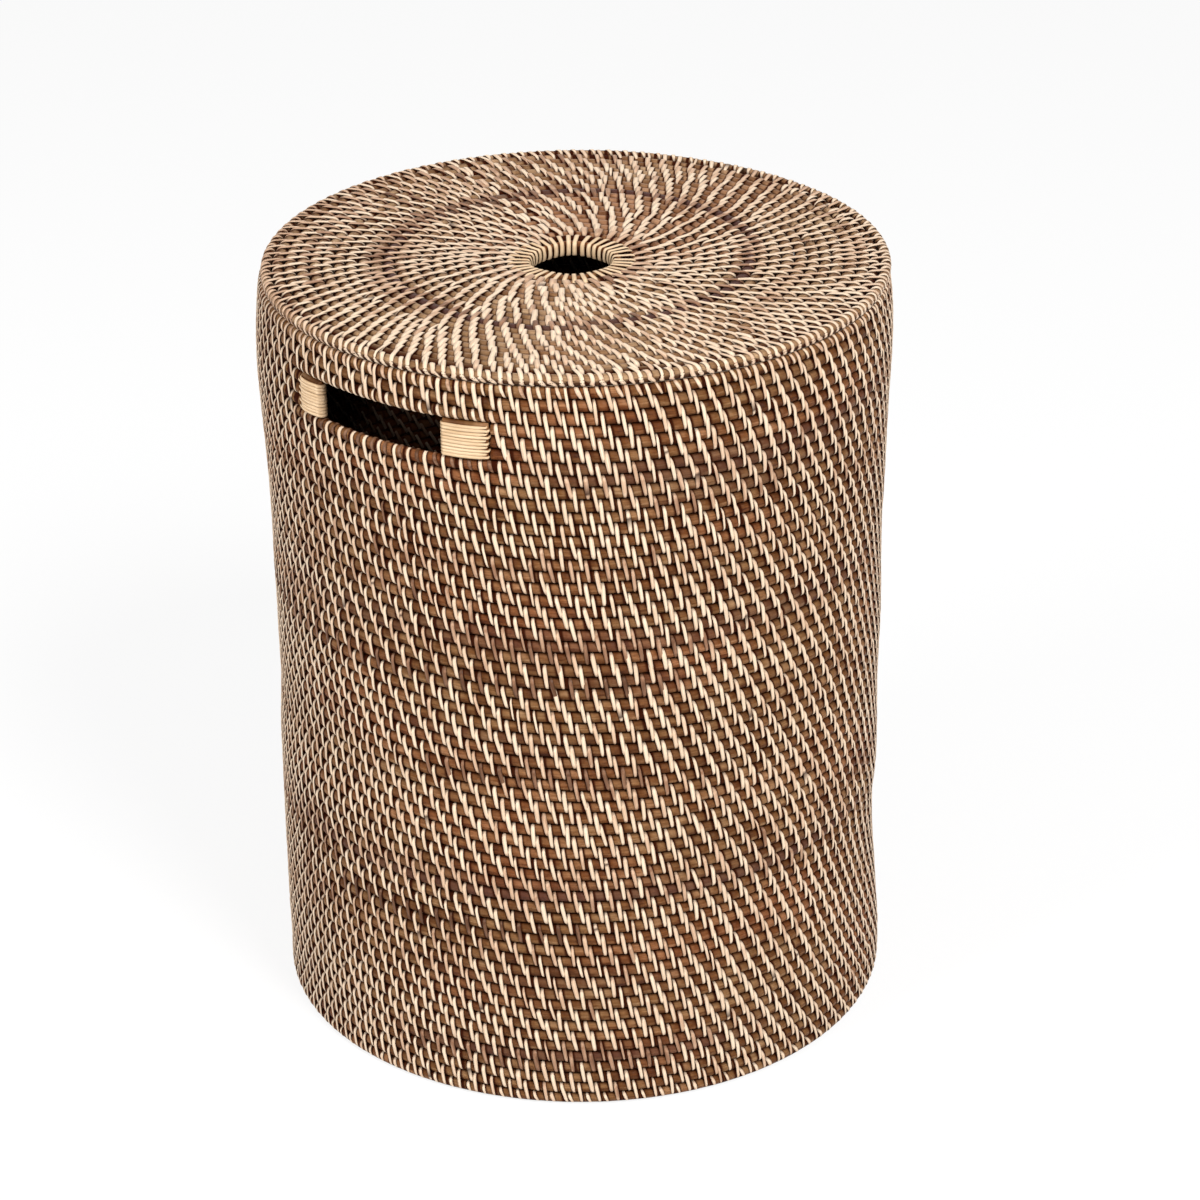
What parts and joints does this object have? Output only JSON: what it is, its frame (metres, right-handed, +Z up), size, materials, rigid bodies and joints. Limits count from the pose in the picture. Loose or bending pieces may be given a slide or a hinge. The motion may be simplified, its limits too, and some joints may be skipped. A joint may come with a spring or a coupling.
{
  "type": "laundry hamper",
  "caption": "Tall round coiled-cane laundry hamper with hand slots bound in pale peel and a lift-off lid with a finger hole.",
  "frame": {"origin": "middle of the foot, on the floor", "axes": "+Z up along the hamper, the two hand slots face -X and +X"},
  "size_m": [0.4, 0.4, 0.5027],
  "materials": {
    "stained_cane": "satin brown stained cane",
    "dark_cane": "satin darker stained cane",
    "pale_peel": "satin pale natural peel"
  },
  "bodies": {
    "hamper_body": {"bar_cane": "stained_cane", "base_cane_1": "stained_cane", "base_cane_2": "stained_cane", "base_cane_3": "stained_cane", "foot_hoop": "stained_cane", "rim_hoop": "stained_cane", "slot_cane_back_1": "stained_cane", "slot_cane_back_2": "stained_cane", "slot_cane_back_3": "stained_cane", "slot_cane_front_1": "stained_cane", "slot_cane_front_2": "stained_cane", "slot_cane_front_3": "stained_cane", "slot_end_binding_left_back": "pale_peel", "slot_end_binding_left_front": "pale_peel", "slot_end_binding_right_back": "pale_peel", "slot_end_binding_right_front": "pale_peel", "slot_end_stack_left_back": "stained_cane", "slot_end_stack_left_front": "stained_cane", "slot_end_stack_right_back": "stained_cane", "slot_end_stack_right_front": "stained_cane", "wall_cane_1": "stained_cane", "wall_cane_2": "stained_cane", "wall_cane_3": "stained_cane", "wall_cane_4": "stained_cane"},
    "lid": {"lid_cane_1": "stained_cane", "lid_cane_2": "dark_cane", "lid_cane_3": "stained_cane", "lid_cane_4": "stained_cane", "lid_hole_binding": "pale_peel", "lid_hole_hoop": "stained_cane", "lid_locating_ring": "stained_cane", "lid_rim_hoop": "stained_cane"}
  },
  "joints": [
    {"name": "lid_lift", "type": "slide", "parent": "hamper_body", "child": "lid", "axis": [0, 0, 1], "range_m": [0, 0.25]}
  ]
}
